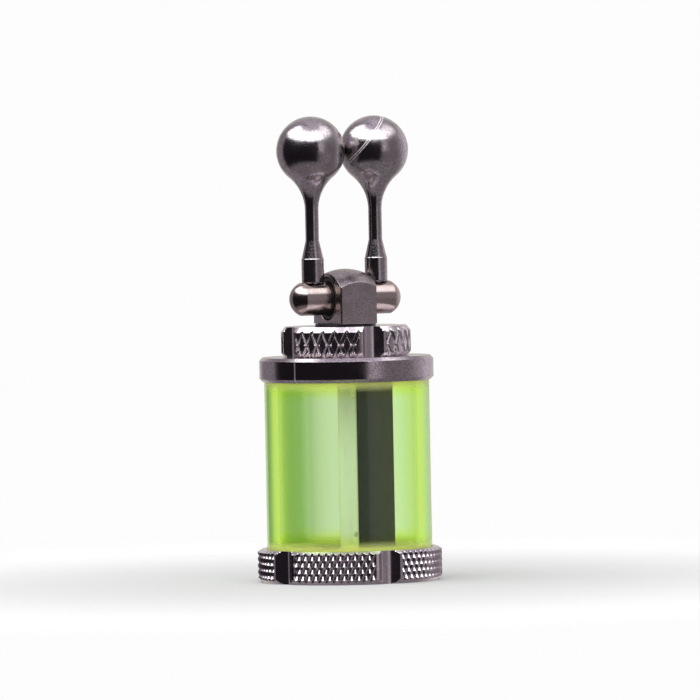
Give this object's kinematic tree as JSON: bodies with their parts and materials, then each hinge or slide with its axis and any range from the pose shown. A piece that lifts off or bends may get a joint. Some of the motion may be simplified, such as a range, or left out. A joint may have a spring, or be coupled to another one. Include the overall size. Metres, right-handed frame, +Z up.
{
  "type": "hand mill",
  "caption": "Small hand mill: knurled steel tray, green glass barrel, bladed spindle through a steel cap with an adjusting nut, cranked by folding ball-ended levers.",
  "frame": {"origin": "centre of the base tray's resting face", "axes": "+Z up the spindle; +X along the pivot pin, towards lever_right"},
  "size_m": [0.028, 0.0279, 0.0704],
  "materials": {
    "knurled_steel": "turned and diamond knurled, satin",
    "cap_steel": "satin turned",
    "head_steel": "milled and brushed",
    "pin_steel": "fine turned",
    "lever_steel": "turned and polished",
    "green_glass": "clear green tint, polished",
    "blade_black": "black oxide, satin",
    "white_ceramic": "white ceramic, fine ground",
    "dark_seal": "matt moulded rubber",
    "spring_steel": "drawn wire and strip",
    "bronze": "sintered, oiled"
  },
  "bodies": {
    "base": {"base_tray": "knurled_steel"},
    "seal": {"tray_seal": "dark_seal"},
    "barrel": {"glass_barrel": "green_glass", "barrel_collar": "cap_steel", "barrel_gasket": "dark_seal", "sieve_plate": "pin_steel", "sieve_snap_ring": "spring_steel", "foot_bush": "bronze"},
    "cap": {"top_cap": "cap_steel", "cap_gasket": "dark_seal", "cap_seal_ring": "dark_seal", "journal_bush": "bronze", "spindle_spring": "spring_steel"},
    "lift": {"thrust_washer": "dark_seal"},
    "nut": {"adjusting_nut": "knurled_steel"},
    "spindle": {"drive_spindle": "head_steel", "circlip": "spring_steel", "spring_seat_washer": "pin_steel", "grinding_blade": "blade_black", "blade_pins": "pin_steel", "blade_shaft": "white_ceramic", "shaft_pin": "pin_steel", "pivot_seals": "dark_seal"},
    "handle": {"pivot_pin": "pin_steel", "lever_left": "lever_steel", "lever_right": "lever_steel"}
  },
  "joints": [
    {"name": "barrel_rise", "type": "slide", "parent": "base", "child": "seal", "axis": [0, 0, 1], "range_m": [0, 0.00187]},
    {"name": "barrel_unscrew", "type": "hinge", "parent": "seal", "child": "barrel", "pos_m": [0, 0, 0], "axis": [0, 0, 1], "range_deg": [0, 900]},
    {"name": "cap_lift", "type": "slide", "parent": "barrel", "child": "cap", "axis": [0, 0, 1], "range_m": [0, 0.032]},
    {"name": "adjust_lift", "type": "slide", "parent": "cap", "child": "lift", "axis": [0, 0, 1], "range_m": [0, 0.0005], "deforming": ["spindle_spring"]},
    {"name": "adjust_turn", "type": "hinge", "parent": "lift", "child": "nut", "pos_m": [0, 0, 0], "axis": [0, 0, 1], "range_deg": [0, 360]},
    {"name": "crank_turn", "type": "hinge", "parent": "lift", "child": "spindle", "pos_m": [0, 0, 0], "axis": [0, 0, 1], "continuous": true},
    {"name": "handle_fold", "type": "hinge", "parent": "spindle", "child": "handle", "pos_m": [0, 0, 0.04277], "axis": [1, 0, 0], "range_deg": [-100, 100]}
  ],
  "couplings": [
    {"joint": "barrel_rise", "follows": "barrel_unscrew", "m_per_rad": 0.00011936},
    {"joint": "adjust_lift", "follows": "adjust_turn", "m_per_rad": 0.00007957}
  ]
}
